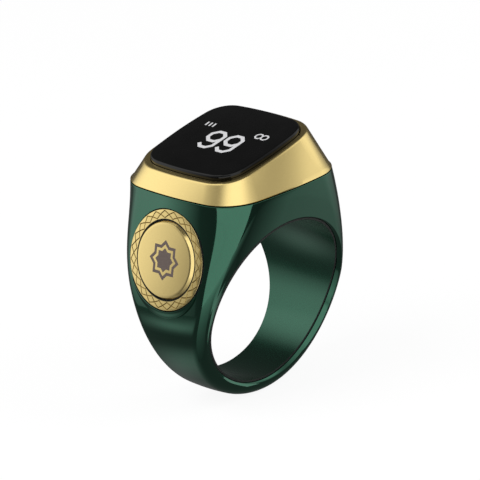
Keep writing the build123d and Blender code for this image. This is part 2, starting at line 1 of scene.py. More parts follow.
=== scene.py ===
import json
from math import atan2, cos, hypot, inf, pi, radians, sin, sqrt

import bmesh
import bpy
from mathutils import Matrix, Vector


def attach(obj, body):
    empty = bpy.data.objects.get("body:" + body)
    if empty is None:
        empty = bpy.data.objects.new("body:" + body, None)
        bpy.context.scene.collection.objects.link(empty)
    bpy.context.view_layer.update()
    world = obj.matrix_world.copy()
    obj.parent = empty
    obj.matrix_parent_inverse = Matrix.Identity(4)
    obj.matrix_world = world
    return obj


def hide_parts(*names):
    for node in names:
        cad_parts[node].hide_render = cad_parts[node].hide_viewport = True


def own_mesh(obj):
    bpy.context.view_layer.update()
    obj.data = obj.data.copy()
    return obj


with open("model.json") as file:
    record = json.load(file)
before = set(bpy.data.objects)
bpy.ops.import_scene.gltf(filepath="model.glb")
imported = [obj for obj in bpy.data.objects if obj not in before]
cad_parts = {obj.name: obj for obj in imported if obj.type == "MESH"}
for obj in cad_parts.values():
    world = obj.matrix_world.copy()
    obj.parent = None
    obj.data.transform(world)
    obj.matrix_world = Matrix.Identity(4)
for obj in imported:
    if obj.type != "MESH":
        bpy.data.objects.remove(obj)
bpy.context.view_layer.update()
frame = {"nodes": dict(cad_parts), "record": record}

# A counting ring with a green lacquered body, gold trim and a lit display. Lengths are in
# millimetres, in the frame of the solids: +Y along the finger, +Z up, and the button faces -X.
MM = 0.001

# Clearances: in bonded joints, between assembled pieces, round the button, and under its nib
BOND_GAP = 0.03
ASSEMBLY_GAP = 0.05
BUTTON_GAP = 0.08
DOME_GAP = 0.03

# Finger bore and band, as in the solids; straight edges are drawn with the least crown
BORE_RADIUS = 10.0
LINER_WALL = 0.3
LINER_STEP = 0.03
LINER_GROOVE = 0.1
LINER_EDGE = 0.03
SLEEVE_RADIUS = BORE_RADIUS + LINER_WALL + BOND_GAP
BAND_RADIUS = 12.0
BAND_BOTTOM_WIDTH = 6.8
BAND_MIDDLE_WIDTH = 11.6
BAND_EDGE_ROUND = 1.4
BAND_CROWN = 0.2
LEAST_CROWN = 0.002

# Head and its seam
SEAM_Z = 14.25
SEAM_SIZE_X = 19.74
SEAM_SIZE_Y = 19.8
SEAM_CORNER = 4.9
SEAM_CROWN = 0.85
HEAD_FLARE = 1.25
BUTTON_SIDE = (2.6, 2.4)
FAR_SIDE = (1.2, 1.1)
CORNER_GROWTH = 1.6
FLOOR_Z = 11.3
CAVITY_WALL = 1.57
CAVITY_CORNER = 3.3

# Bezel and glass; the bezel's straight wall runs between two shares of its height
BEZEL_RISE = 3.73
BEZEL_SHIFT = -0.575
DISPLAY_TILT = 12.0
BEZEL_INSET_X = 1.91
BEZEL_INSET_Y = 1.81
TOP_HALF_X = SEAM_SIZE_X / 2 - BEZEL_INSET_X
TOP_HALF_Y = SEAM_SIZE_Y / 2 - BEZEL_INSET_Y
BEZEL_TOP_CORNER = 3.9
BEZEL_TOP_CROWN = 0.55
BEZEL_LAND = 0.71
BEZEL_SKIRT_DEPTH = 1.05
BEZEL_SKIRT_WALL = 0.5
LEDGE_TOP = 0.9
LEDGE_BACK = 1.4
LEDGE_WIDTH_X = 2.1
LEDGE_WIDTH_Y = 1.23
WINDOW_CORNER = 1.05
BEZEL_WALL = (0.06, 0.93)
GLASS_PROUD = 0.57
GLASS_BACK = 0.78
GLASS_EDGE = 0.28

# Button, its ornament ring and the pad round them
BUTTON_Z = 7.10
BUTTON_SINK = 0.08
BUTTON_TILT = 13.4
PAD_FLAT = 6.0
PAD_RADIUS = 6.75
PAD_DROP = 0.33
PAD_DEPTH = 1.5
PAD_EDGE = 0.1
PAD_START = 0.5
RING_RADIUS = 5.8
RING_DEPTH = 1.02
CAP_RADIUS = 4.55
CAP_PROUD = 0.3
CAP_DOME = 0.03
BEVEL_WIDTH = 0.26
BEVEL_DEPTH = 0.38
CAP_EDGE = 0.02
FLANGE_RADIUS = 5.05
FLANGE_TOP = 0.27
FLANGE_BACK = 0.62
LIP_RADIUS = CAP_RADIUS + BUTTON_GAP
LIP_EDGE = 0.1
LIP_SHADE = 0.12
LIP_DEPTH = 0.23
WELL_RADIUS = FLANGE_RADIUS + BUTTON_GAP
NIB_RADIUS = 0.9
NIB_END = RING_DEPTH + 2 * DOME_GAP
POCKET_RADIUS = 2.45
POCKET_DEPTH = 1.72

# Silicone seal and click dome under the cap, and the share of their height left when it is pressed
SEAL_INNER = 3.2
SEAL_OUTER = 4.8
SEAL_HEIGHT = 0.37
SEAL_KEEP = 0.36
DOME_RADIUS = 2.2
DOME_RISE = 0.3
DOME_BASE = NIB_END + DOME_GAP + DOME_RISE
DOME_WALL = 0.06
DOME_KEEP = 0.22

# Ornament ring: a row of lozenges between two engraved zigzags, tinted between shares of their depth
LOZENGES = 24
LOZENGE_TURN = 9.5
LATTICE_INNER = 4.82
LATTICE_MIDDLE = 5.24
LATTICE_OUTER = 5.66
GROOVE_REACH = 0.075
GROOVE_DEPTH = 0.05
GROOVE_TINT = (1.1, 0.2)
RING_EDGE = 0.05
SHADOW_GAP = 0.13

# Eight-pointed star on the cap: shares of its radius where each dark band begins and ends
STAR_RADIUS = 2.35
STAR_BANDS = ((0.0, 0.6), (0.79, 1.0))
INLAY_RISE = 0.006
INLAY_DEPTH = 0.02

# Lit figures, placed across (-Y) and up (towards +X) from the middle of the glass
DIGIT_PLACES = (-1.43, 1.40)
DIGIT_HALF_WIDTH = 1.03
DIGIT_STROKE = 0.46
DIGIT_CORNER = 0.62
LOOP_MIDDLE = 0.2
LOOP_HALF_HEIGHT = 1.0
TAIL_LOW = -2.25
BAR_PLACES = (-4.82, -4.25, -3.68)
BAR_SPAN = (1.76, 2.5)
BAR_LEAN = 0.06
BAR_WIDTH = 0.22
SIGN_PLACES = (3.53, 4.41)
SIGN_MIDDLE = 2.17
SIGN_HALF_WIDTH = 0.44
SIGN_HALF_HEIGHT = 0.46
SIGN_CORNER = 0.27
SIGN_STROKE = 0.2

# Charging contacts in the roof of the bore
CONTACT_ANGLE = 15.0
CONTACT_SPACING = 4.4
CONTACT_HEAD_RADIUS = 0.9
CONTACT_HEAD = 0.6
CONTACT_STEM_RADIUS = 0.45
CONTACT_SINK = 0.05

# How far cutting tools reach past a surface
CUT_OVER = 1.5

# Small edges that catch the light, and the margin of the painted shade beside them
RIM_BEVEL = 0.5
RIM_EDGE = 0.035
RIM_TURN = -25.0
RIM_SOFT = 0.05
SEAM_ROUND = 0.08
SEAM_GAP = 0.12
SMALL_ROUND = 0.06
TOP_ROUND = 0.3
TINT_MARGIN = 0.002

# How finely curved surfaces are divided; a panel has at least PANEL_COLUMNS, of about PANEL_DEGREES each
RIM_STEPS = 5
FRONT_STEPS = 18
CORNER_STEPS = 12
SIDE_STEPS = 18
BAND_STEPS = 90
BORE_STEPS = 44
TURN_STEPS = 160
HOLE_STEPS = 40
LATTICE_STEPS = 6
ROOF_STEPS = 7
HEAD_STEPS = 22
WALL_STEPS = 10
ROUND_STEPS = 4
GLASS_STEPS = 8
EDGE_STEPS = 3
FACE_STEPS = 16
STAR_STEPS = 64
INLAY_STEPS = 6
DOME_STEPS = 10
PANEL_ROWS = 8
PANEL_COLUMNS = 4
PANEL_DEGREES = 4
# Points closer than this become one
MERGE_DISTANCE = 1e-4

# Camera, at the photograph's viewing angle, in degrees and millimetres
VIEW_AZIMUTH = 43.71
VIEW_ELEVATION = 20.15
VIEW_ROLL = -4.08
VIEW_DISTANCE = 502.6
VIEW_RIGHT = 0.068
VIEW_UP = 5.704
PIXELS_PER_MM = 8.643
IMAGE_SIZE = 480
SENSOR = 36.0
CLIP_START = 10.0

# Studio: panels that only reflections see, around a white room. Each has its bearings from the camera,
# its heights, and its brightness along the lower edge and along the upper one.
PANEL_DISTANCE = 45.0
WALL_FOOT = -12.1
WALL_PANELS = (
    ((-142, -126), (WALL_FOOT, 20), (0.1, 0.1), (0.1, 0.15)),
    ((-126, -108), (8, 20), (0.1, 0.75), (0.15, 0.85)),
    ((-126, -108), (WALL_FOOT, 8), (0.1, 0.2), (0.1, 0.75)),
    ((-108, -86), (WALL_FOOT, 3), (0.25, 0.4), (0.75, 0.93)),
    ((-108, -86), (3, 20), (0.75, 0.93), (0.85, 0.95)),
    ((-86, -69), (WALL_FOOT, 3), (0.4, 0.1), (0.93, 0.1)),
    ((-86, -69), (3, 20), (0.93, 0.1), (0.95, 0.1)),
    ((-69, -34), (WALL_FOOT, 20), (0.1, 0.09), (0.1, 0.09)),
    ((-34, 4), (20, 44), (0.09, 0.09), (0.09, 0.09)),
    ((46, 69), (WALL_FOOT, 20), (0.08, 0.07), (0.1, 0.1)),
    ((69, 84), (WALL_FOOT, 20), (0.07, 0.38), (0.1, 0.34)),
    ((84, 106), (WALL_FOOT, 20), (0.38, 0.42), (0.45, 0.75)),
    ((106, 130), (WALL_FOOT, 20), (0.42, 0.15), (0.75, 0.3)),
    ((60, 130), (75, 130), (0.3, 0.3), (0.3, 0.3)),
    ((-142, -112), (75, 130), (0.1, 0.95), (0.1, 0.95)),
    ((130, 218), (WALL_FOOT, 130), (0.08, 0.08), (0.08, 0.08)),
)
# Upper part of the wall: bearings and the brightness there
UPPER_HEIGHTS = (20, 75)
UPPER_WALL = (
    (-142, 0.1), (-116, 0.95), (-100, 1.1), (-90, 0.98), (-80, 0.74), (-74, 0.5), (-56, 0.36), (-45, 0.3),
    (-36, 0.38), (-18, 0.95), (-4, 1.15), (23, 1.12), (35, 0.97), (47, 0.7), (61, 0.5), (69, 0.37),
    (75, 0.41), (80, 0.52), (87, 0.85), (103, 0.98), (122, 0.7), (132, 0.1),
)
UPPER_BEHIND = 0.5
# Level cards: bearings, distances from the middle, height, brightness at the near edge and at the far one
LEVEL_CARDS = (
    ((-180, 180), (0.5, 30), -12.04, (0.1, 0.1), (0.1, 0.1)),
    ((-142, -34), (30, 45), -12.04, (0.12, 0.1), (0.12, 0.1)),
    ((-34, 10), (14, 45), -12.03, (0.1, 0.12), (0.68, 0.95)),
    ((10, 40), (19, 45), -12.03, (0.12, 0.2), (0.95, 1.0)),
    ((40, 69), (27, 45), -12.03, (0.2, 0.07), (0.7, 0.07)),
    ((30, 62), (11, 21), -12.02, (0.75, 0.3), (1.0, 0.4)),
    ((21, 38), (20, 31), -12.01, (0.9, 0.8), (0.6, 0.75)),
    ((28, 51), (5.2, 8.1), -12.01, (1.0, 0.9), (1.0, 0.9)),
    ((69, 84), (22, 45), -12.03, (0.07, 0.32), (0.07, 0.36)),
    ((84, 106), (22, 45), -12.03, (0.32, 0.32), (0.36, 0.4)),
    ((106, 130), (22, 45), -12.03, (0.32, 0.1), (0.4, 0.12)),
    ((130, 218), (30, 45), -12.04, (0.08, 0.08), (0.08, 0.08)),
    ((-180, 180), (0.5, 45), 130.0, (0.12, 0.12), (0.12, 0.12)),
)
# Soft pools of light on the floor: bearings, distances, and brightness at the edge and in the middle
POOLS = (
    ((-98, -56), (25, 45), (0.1, 0.55)),
    ((-108, -20), (6, 21), (0.1, 0.38)),
    ((-178, -114), (6, 22), (0.1, 0.45)),
)
POOL_Z = -12.035
STAGE_Z = -12.05
FLOOR_HALF = 1500.0
FLOOR_GLOW = 0.92
ROOM_LIGHT = 0.6
# Soft lamps: bearing, distance, height, size and power in watts
LAMPS = {"key": (-60, 260, 320, 260, 1.2), "fill": (80, 300, 220, 260, 0.6)}

# Finishes: dark and light colour, least and most roughness, size of the pattern, its kind, its relief, and
# the other settings of the surface. The pattern is dark up to one share of its range, light from another.
PATTERN_SPAN = (0.3, 0.7)
WHITE = (1, 1, 1, 1)
PLAIN = {}
GLASSY = {"IOR": 1.42}
CLEAR = {"Transmission Weight": 1.0}
LIT = {"Emission Strength": 1.0}
METAL = {"Metallic": 1.0}
COATED = {"Metallic": 1.0, "Specular Tint": (0.5, 0.7, 0.6, 1), "Coat Weight": 1.0, "Coat IOR": 1.55}
GLOSS_COAT = {**COATED, "Coat Roughness": 0.03}
SATIN_COAT = {**COATED, "Coat Roughness": 0.2}
GREEN = ((0.008, 0.105, 0.055), (0.014, 0.135, 0.072))
FINISHES = {
    "lacquer": (*GREEN, (0.07, 0.12), 0.08, "Noise", 0, GLOSS_COAT),
    "satin_lacquer": (*GREEN, (0.24, 0.3), 0.08, "Noise", 0, SATIN_COAT),
    "gold": ((0.97, 0.74, 0.295), (1.0, 0.8, 0.335), (0.15, 0.22), 0.05, "Noise", 0, METAL),
    "cover_glass": ((0.001, 0.001, 0.001), (0.002, 0.002, 0.002), (0.03, 0.08), 3.0, "Noise", 0, GLASSY),
    "adhesive": ((0.02, 0.02, 0.022), (0.05, 0.05, 0.052), (0.5, 0.7), 0.3, "Noise", 0, PLAIN),
    "clear_film": ((0.85, 0.87, 0.86), (0.95, 0.95, 0.95), (0.02, 0.06), 1.0, "Noise", 0, CLEAR),
    "display": ((0.006, 0.006, 0.008), (0.016, 0.016, 0.02), (0.15, 0.25), 0.12, "Brick", 0, PLAIN),
    "ribbon": ((0.32, 0.12, 0.02), (0.62, 0.27, 0.06), (0.3, 0.45), 0.35, "Wave", 0, PLAIN),
    "foam": ((0.03, 0.03, 0.03), (0.1, 0.1, 0.1), (0.8, 0.95), 0.2, "Voronoi", 0.5, PLAIN),
    "board": ((0.006, 0.05, 0.02), (0.02, 0.13, 0.05), (0.3, 0.5), 0.5, "Brick", 0, PLAIN),
    "chip": ((0.012, 0.012, 0.013), (0.03, 0.03, 0.032), (0.5, 0.65), 0.06, "Noise", 0, PLAIN),
    "cell": ((0.5, 0.51, 0.53), (0.7, 0.71, 0.72), (0.3, 0.45), 0.6, "Noise", 0.1, {"Metallic": 0.8}),
    "steel": ((0.5, 0.5, 0.49), (0.66, 0.66, 0.65), (0.22, 0.38), 0.1, "Noise", 0, METAL),
    "silicone": ((0.2, 0.2, 0.21), (0.3, 0.3, 0.31), (0.45, 0.6), 0.25, "Noise", 0.1, PLAIN),
    "contact": ((0.8, 0.58, 0.2), (0.98, 0.76, 0.32), (0.15, 0.25), 0.08, "Noise", 0, METAL),
    "weight": ((0.25, 0.25, 0.27), (0.36, 0.36, 0.38), (0.35, 0.5), 0.12, "Noise", 0, METAL),
    "engraving": ((0.34, 0.235, 0.07), (0.46, 0.325, 0.105), (0.3, 0.45), 0.04, "Noise", 0, METAL),
    # shade: painted shade, a near-black laid where shade falls in gaps, recesses and the seam
    "shade": ((0.006, 0.008, 0.007), (0.01, 0.013, 0.011), (0.6, 0.8), 0.05, "Noise", 0, PLAIN),
    "mark": ((0.08, 0.058, 0.05), (0.1, 0.074, 0.064), (0.45, 0.6), 0.06, "Noise", 0, PLAIN),
    "lit_pixels": ((0.02, 0.02, 0.02), (0.03, 0.03, 0.03), (0.1, 0.2), 0.1, "Noise", 0, LIT),
    "floor": ((0.86, 0.86, 0.86), (0.9, 0.9, 0.9), (0.7, 0.8), 40.0, "Noise", 0, PLAIN),
}
# Pixels of the lit figures
PIXEL_SIZE = 0.09
PIXEL_GRID = {
    "Color1": (0.72, 0.72, 0.73, 1),
    "Color2": (0.66, 0.66, 0.67, 1),
    "Mortar": (0.4, 0.4, 0.41, 1),
    "Scale": 1 / (PIXEL_SIZE * MM),
    "Mortar Size": 0.06,
    "Brick Width": 1.0,
    "Row Height": 1.0,
}


# Outlines and profiles


def side_reach(z, side):
    """Distance from the finger axis to one side of the head at height z."""
    hold, fall = side
    return SEAM_SIZE_X / 2 + (BAND_RADIUS - SEAM_SIZE_X / 2) * (1 - (z / SEAM_Z) ** hold) ** fall


def half_width(z):
    """Half of the ring's width along the finger at height z."""
    head_growth = (SEAM_SIZE_Y - BAND_MIDDLE_WIDTH) / 2
    band_growth = (BAND_MIDDLE_WIDTH - BAND_BOTTOM_WIDTH) / 2
    if z >= 0:
        return SEAM_SIZE_Y / 2 - head_growth * (1 - z / SEAM_Z) ** HEAD_FLARE
    band_flare = HEAD_FLARE * head_growth / SEAM_Z * BAND_RADIUS / band_growth
    return BAND_BOTTOM_WIDTH / 2 + band_growth * max(1 + z / BAND_RADIUS, 0) ** band_flare


def arc_through(start, end, sag):
    """Centre and radius of the circle through two points that bulges by sag to the right of start-end."""
    chord = (end - start).length
    radius = (chord * chord / 4 + sag * sag) / (2 * sag)
    middle = (start + end) / 2
    along = (end - start).normalized()
    inward = Vector((-along.y, along.x))
    return middle + inward * (radius - sag), radius


def circles_meet(first, first_radius, second, second_radius):
    """The crossing of two circles that lies to the left of the line from first to second."""
    line = second - first
    length = line.length
    along = (first_radius**2 - second_radius**2 + length**2) / (2 * length)
    across = sqrt(max(first_radius**2 - along**2, 0))
    unit = line / length
    return first + unit * along + Vector((-unit.y, unit.x)) * across


def between(first, last, share):
    """Value at a share of the way between two values."""
    return first + (last - first) * share


def even_columns(end):
    """Places along a plain front, from its middle to just before its end."""
    return [end * step / FRONT_STEPS for step in range(FRONT_STEPS)]


def rim_columns(start, rim):
    """Places along a front that begins with a bevel from start to rim."""
    bevel = [between(start, rim, 1 - (1 - step / RIM_STEPS) ** 2) for step in range(RIM_STEPS)]
    return lambda end: bevel + [between(rim, end, step / FRONT_STEPS) for step in range(FRONT_STEPS)]


def quarter(front, side, corner, columns):
    """Points of a quarter outline: along the front arc, round the corner, to the middle of the side.

    columns gives the x of the points along the front, from the x where the corner begins.
    """
    front_centre, front_radius = front
    side_centre, side_radius = side
    centre = circles_meet(front_centre, front_radius - corner, side_centre, side_radius - corner)
    first = front_centre + (centre - front_centre).normalized() * front_radius
    last = side_centre + (centre - side_centre).normalized() * side_radius
    points = []
    for x in columns(first.x):
        y = front_centre.y - sqrt(front_radius**2 - (x - front_centre.x) ** 2)
        points.append((x, y))
    turn_from = atan2(first.y - centre.y, first.x - centre.x)
    turn_to = atan2(last.y - centre.y, last.x - centre.x)
    for step in range(CORNER_STEPS):
        turn = between(turn_from, turn_to, step / CORNER_STEPS)
        points.append((centre.x + corner * cos(turn), centre.y + corner * sin(turn)))
    for step in range(SIDE_STEPS + 1):
        y = last.y * (1 - step / SIDE_STEPS)
        points.append((side_centre.x + sqrt(side_radius**2 - (y - side_centre.y) ** 2), y))
    return points


def cushion_quarter(reach, other, half_y, crown_x, crown_y, corner, columns):
    """Quarter of a rounded rectangle with bowed sides, on the side that reaches to x = reach."""
    crown_x = max(crown_x, LEAST_CROWN)
    crown_y = max(crown_y, LEAST_CROWN)
    corner_x = reach - crown_x
    corner_y = crown_y - half_y
    front = arc_through(Vector((crown_x - other, corner_y)), Vector((corner_x, corner_y)), crown_y)
    side = arc_through(Vector((corner_x, corner_y)), Vector((corner_x, -corner_y)), crown_x)
    return quarter(front, side, corner, columns)


def cushion(half_x, half_y, crown, corner):
    """Closed outline, anticlockwise from the front's middle, of a cushion with equal sides."""
    points = cushion_quarter(half_x, half_x, half_y, crown, crown, corner, even_columns)
    right = points + [(x, -y) for x, y in reversed(points[1:-1])] + [(0.0, half_y)]
    return right + [(-x, y) for x, y in reversed(right[1:-1])]


def seam_outline(inset):
    """Outline of the head at the seam, drawn in by an inset."""
    return cushion(SEAM_SIZE_X / 2 - inset, SEAM_SIZE_Y / 2 - inset, SEAM_CROWN, SEAM_CORNER - inset)


def top_outline(inset):
    """Outline of the bezel's top, drawn in by an inset."""
    return cushion(TOP_HALF_X - inset, TOP_HALF_Y - inset, BEZEL_TOP_CROWN, BEZEL_TOP_CORNER - inset)


def rim_bevel(angle):
    """Width of the bevel on the front rim of the bore, at an angle up from +X; it is widest at RIM_TURN."""
    return between(RIM_EDGE, RIM_BEVEL, max(cos(angle - radians(RIM_TURN)), 0.0))


def rim_drop(radius, bevel):
    """How far the ring's end face falls away at the rim of the bore."""
    depth = max(SLEEVE_RADIUS + bevel - radius, 0.0)
    return depth**2 / (depth + RIM_SOFT)


def mirrored(front, back):
    """A profile from front to back, from its front half and the mirror image of its back half."""
    return front + [(x, -y) for x, y in reversed(back[:-1])]


def head_profile(z, side, other, inset):
    """Front-to-back profile (x, y) of one side of the head at height z."""
    share = z / SEAM_Z
    way = 1 if side is FAR_SIDE else -1
    start = sqrt(max(SLEEVE_RADIUS**2 - z * z, 0.0))
    rim = sqrt(max((SLEEVE_RADIUS + rim_bevel(atan2(z, way * start))) ** 2 - z * z, 0.0))
    points = cushion_quarter(
        side_reach(z, side) - inset,
        side_reach(z, other) - inset,
        half_width(z) - inset,
        between(BAND_CROWN, SEAM_CROWN, share**2),
        SEAM_CROWN * share**2,
        between(BAND_EDGE_ROUND, SEAM_CORNER, share**CORNER_GROWTH) - inset,
        rim_columns(start, rim),
    )
    front = [(x, y + rim_drop(hypot(x, z), rim_bevel(atan2(z, way * x)))) for x, y in points]
    back = [(x, y + rim_drop(hypot(x, z), RIM_EDGE)) for x, y in points]
    return mirrored(front, back)


def band_profile(angle):
    """Front-to-back profile (distance from the axis, y) of the band, an angle below +X."""
    fall = sin(angle)
    outer = BAND_RADIUS - BAND_CROWN
    outer_half = half_width(-outer * fall)
    start = Vector((SLEEVE_RADIUS, -half_width(-SLEEVE_RADIUS * fall)))
    corner = Vector((outer, -outer_half))
    front = arc_through(start, corner, LEAST_CROWN)
    side = arc_through(corner, Vector((outer, outer_half)), BAND_CROWN)
    bevel = rim_bevel(-angle)
    points = quarter(front, side, BAND_EDGE_ROUND, rim_columns(SLEEVE_RADIUS, SLEEVE_RADIUS + bevel))
    front_half = [(x, y + rim_drop(x, bevel)) for x, y in points]
    back_half = [(x, y + rim_drop(x, RIM_EDGE)) for x, y in points]
    return mirrored(front_half, back_half)


def head_levels():
    """Heights and insets of the head's sections, from the middle of the bore up to the seam."""
    levels = [(SLEEVE_RADIUS * sin(pi / 2 * step / BORE_STEPS), 0.0) for step in range(BORE_STEPS + 1)]
    levels += [(SLEEVE_RADIUS + RIM_EDGE * step / ROOF_STEPS, 0.0) for step in range(1, ROOF_STEPS + 1)]
    top = SEAM_Z - SEAM_ROUND
    bottom = SLEEVE_RADIUS + RIM_EDGE
    levels += [(between(bottom, top, step / HEAD_STEPS), 0.0) for step in range(1, HEAD_STEPS + 1)]
    for step in range(1, ROUND_STEPS + 1):
        turn = pi / 2 * step / ROUND_STEPS
        levels.append((top + SEAM_ROUND * sin(turn), SEAM_ROUND * (1 - cos(turn))))
    return levels


# Meshes


def add_object(name, data):
    """New object in the scene."""
    thing = bpy.data.objects.new(name, data)
    bpy.context.scene.collection.objects.link(thing)
    return thing


def new_mesh(name, points, faces):
    """Mesh object from points in millimetres, closed up where points meet."""
    mesh = bpy.data.meshes.new(name)
    mesh.from_pydata([Vector(point) * MM for point in points], [], faces)
    build = bmesh.new()
    build.from_mesh(mesh)
    bmesh.ops.remove_doubles(build, verts=build.verts, dist=MERGE_DISTANCE * MM)
    bmesh.ops.dissolve_degenerate(build, edges=build.edges, dist=MERGE_DISTANCE * MM / 10)
    bmesh.ops.recalc_face_normals(build, faces=build.faces)
    build.to_mesh(mesh)
    build.free()
    return add_object(name, mesh)


def smooth(piece, angle):
    """Smooth shading, with edges sharper than the angle kept sharp."""
    piece.data.shade_smooth()
    piece.data.set_sharp_from_angle(angle=radians(angle))


def joined(rows):
    """The points of several rows or loops, in order."""
    return [point for row in rows for point in row]


def strip_faces(rows, columns):
    """Quads between successive rows of points."""
    faces = []
    for row in range(rows - 1):
        for column in range(columns - 1):
            corner = row * columns + column
            faces.append((corner, corner + 1, corner + columns + 1, corner + columns))
    return faces


def loop_faces(loops, count):
    """Quads between successive closed loops of points."""
    faces = []
    for loop in range(loops - 1):
        for step in range(count):
            near = loop * count + step
            next_near = loop * count + (step + 1) % count
            faces.append((near, next_near, next_near + count, near + count))
    return faces


def capped(name, loops):
    """Solid through successive closed loops, with a face over the first and the last."""
    count = len(loops[0])
    last = (len(loops) - 1) * count
    faces = loop_faces(len(loops), count) + [tuple(range(count)), tuple(range(last, last + count))]
    return new_mesh(name, joined(loops), faces)


def placed(plane, outline, height):
    """An outline's points on a plane, at a height above it."""
    return [plane @ Vector((x, y, height)) for x, y in outline]


def spun(plane, turn, section):
    """Points (radius, height) of a section, turned about a plane's normal."""
    return [plane @ Vector((radius * cos(turn), radius * sin(turn), height)) for radius, height in section]


def lathe(name, plane, profile, steps=TURN_STEPS):
    """Solid of revolution about a plane's normal, from (radius, height) points on or round the axis."""
    # A ring closes back to its first point
    if profile[0][0] > 0:
        profile = profile + profile[:1]
    points = []
    for radius, height in profile:
        for step in range(steps):
            points += spun(plane, 2 * pi * step / steps, [(radius, height)])
    return new_mesh(name, points, loop_faces(len(profile), steps))


def swept(name, sections):
    """Closed band through successive closed sections, back to the first."""
    count = len(sections[0])
    faces = []
    for step in range(len(sections)):
        near = step * count
        far = (step + 1) % len(sections) * count
        for side in range(count):
            other = (side + 1) % count
            faces.append((near + side, near + other, far + other, far + side))
    return new_mesh(name, joined(sections), faces)


def combine(piece, tool, operation):
    """Join a tool to a piece or cut it away, and drop the tool."""
    modifier = piece.modifiers.new("combine", "BOOLEAN")
    modifier.operation = operation
    modifier.solver = "EXACT"
    modifier.object = tool
    bpy.context.view_layer.update()
    result = bpy.data.meshes.new_from_object(piece.evaluated_get(bpy.context.evaluated_depsgraph_get()))
    piece.modifiers.clear()
    old = piece.data
    piece.data = result
    bpy.data.meshes.remove(old)
    bpy.data.objects.remove(tool)


def plane_at(origin, x_axis, normal):
    """Placement matrix of a plane from its origin, x direction and normal."""
    z = Vector(normal).normalized()
    x = Vector(x_axis).normalized()
    y = z.cross(x)
    return Matrix.Translation(Vector(origin)) @ Matrix((x, y, z)).transposed().to_4x4()


# Planes that the pieces are built on
tilt = radians(DISPLAY_TILT)
display_plane = plane_at(
    (BEZEL_SHIFT, 0, SEAM_Z + BEZEL_RISE), (cos(tilt), 0, sin(tilt)), (-sin(tilt), 0, cos(tilt))
)
lean = radians(BUTTON_TILT)
button_x = BUTTON_SINK - side_reach(BUTTON_Z, BUTTON_SIDE)
button_plane = plane_at((button_x, 0, BUTTON_Z), (0, -1, 0), (-cos(lean), 0, sin(lean)))
seam_plane = Matrix.Translation((0, 0, SEAM_Z))
bore_plane = plane_at((0, 0, 0), (1, 0, 0), (0, -1, 0))
contact_lean = radians(CONTACT_ANGLE)
contact_ray = Vector((-sin(contact_lean), 0, cos(contact_lean)))
contact_middle = contact_ray * (BORE_RADIUS + CONTACT_SINK)
contact_half = Vector((0, CONTACT_SPACING / 2, 0))
contact_planes = [plane_at(contact_middle + side * contact_half, (0, 1, 0), contact_ray) for side in (-1, 1)]


# Pieces


def drill(piece, hole):
    """Cut a hole, from (radius, height) points, at each charging contact."""
    for plane in contact_planes:
        combine(piece, lathe("hole", plane, hole, HOLE_STEPS), "DIFFERENCE")


def rounded_prism(name, size_x, size_y, corner, bottom, top):
    """Upright block with rounded corners, as a cutting tool."""
    outline = cushion(size_x / 2, size_y / 2, 0.0, corner)
    return capped(name, [[(x, y, z) for x, y in outline] for z in (bottom, top)])


def make_pad():
    """Raised pad round the button, whose sloping lip grows towards the bottom."""
    sections = []
    for step in range(TURN_STEPS):
        turn = 2 * pi * step / TURN_STEPS
        growth = max(-sin(turn) - PAD_START, 0.0) / (1 - PAD_START)
        slope_end = between(RING_RADIUS, PAD_RADIUS - PAD_EDGE, growth)
        flat_end = min(PAD_FLAT, slope_end - PAD_EDGE)
        drop = PAD_DROP * max(slope_end - PAD_FLAT, 0.0) / (PAD_RADIUS - PAD_EDGE - PAD_FLAT)
        end = slope_end + PAD_EDGE
        chip = PAD_EDGE / 4
        section = [
            (WELL_RADIUS, -PAD_DEPTH), (end, -PAD_DEPTH), (end, -drop - PAD_EDGE),
            (end - chip, -drop - chip), (slope_end, -drop), (flat_end, 0), (WELL_RADIUS, 0),
        ]
        sections.append(spun(button_plane, turn, section))
    return swept("pad", sections)


def make_ring_body():
    """Flared ring: head sections down the button side, band sections, and head sections up the far side."""
    levels = head_levels()
    rows = []
    for z, inset in reversed(levels):
        rows.append([(-x, y, z) for x, y in head_profile(z, BUTTON_SIDE, FAR_SIDE, inset)])
    for step in range(1, BAND_STEPS):
        angle = pi * (1 - step / BAND_STEPS)
        rows.append([(r * cos(angle), y, -r * sin(angle)) for r, y in band_profile(angle)])
    for z, inset in levels:
        rows.append([(x, y, z) for x, y in head_profile(z, FAR_SIDE, BUTTON_SIDE, inset)])
    columns = len(rows[0])
    faces = strip_faces(len(rows), columns)
    # The bore's wall, and the top at the seam
    above_bore = len(levels) - BORE_STEPS - 1
    for row in range(above_bore, len(rows) - 1 - above_bore):
        near = row * columns
        faces.append((near, near + columns, near + 2 * columns - 1, near + columns - 1))
    last = (len(rows) - 1) * columns
    faces.append(tuple(range(columns)) + tuple(range(last + columns - 1, last - 1, -1)))
    body = new_mesh("ring_body_shell", joined(rows), faces)

    combine(body, make_pad(), "UNION")
    mouth = RING_RADIUS + SHADOW_GAP
    recess = [
        (0, CUT_OVER), (mouth, CUT_OVER), (mouth, -RING_DEPTH),
        (POCKET_RADIUS, -RING_DEPTH), (POCKET_RADIUS, -POCKET_DEPTH), (0, -POCKET_DEPTH),
    ]
    combine(body, lathe("recess", button_plane, recess), "DIFFERENCE")
    cavity_x = SEAM_SIZE_X - 2 * CAVITY_WALL
    cavity_y = SEAM_SIZE_Y - 2 * CAVITY_WALL
    cavity = rounded_prism("cavity", cavity_x, cavity_y, CAVITY_CORNER, FLOOR_Z, SEAM_Z + CUT_OVER)
    combine(body, cavity, "DIFFERENCE")
    head = CONTACT_HEAD_RADIUS + BOND_GAP
    stem = CONTACT_STEM_RADIUS + BOND_GAP
    drill(body, [
        (0, -CONTACT_HEAD), (head, -CONTACT_HEAD), (head, CONTACT_HEAD),
        (stem, CONTACT_HEAD), (stem, CUT_OVER), (0, CUT_OVER),
    ])
    return body


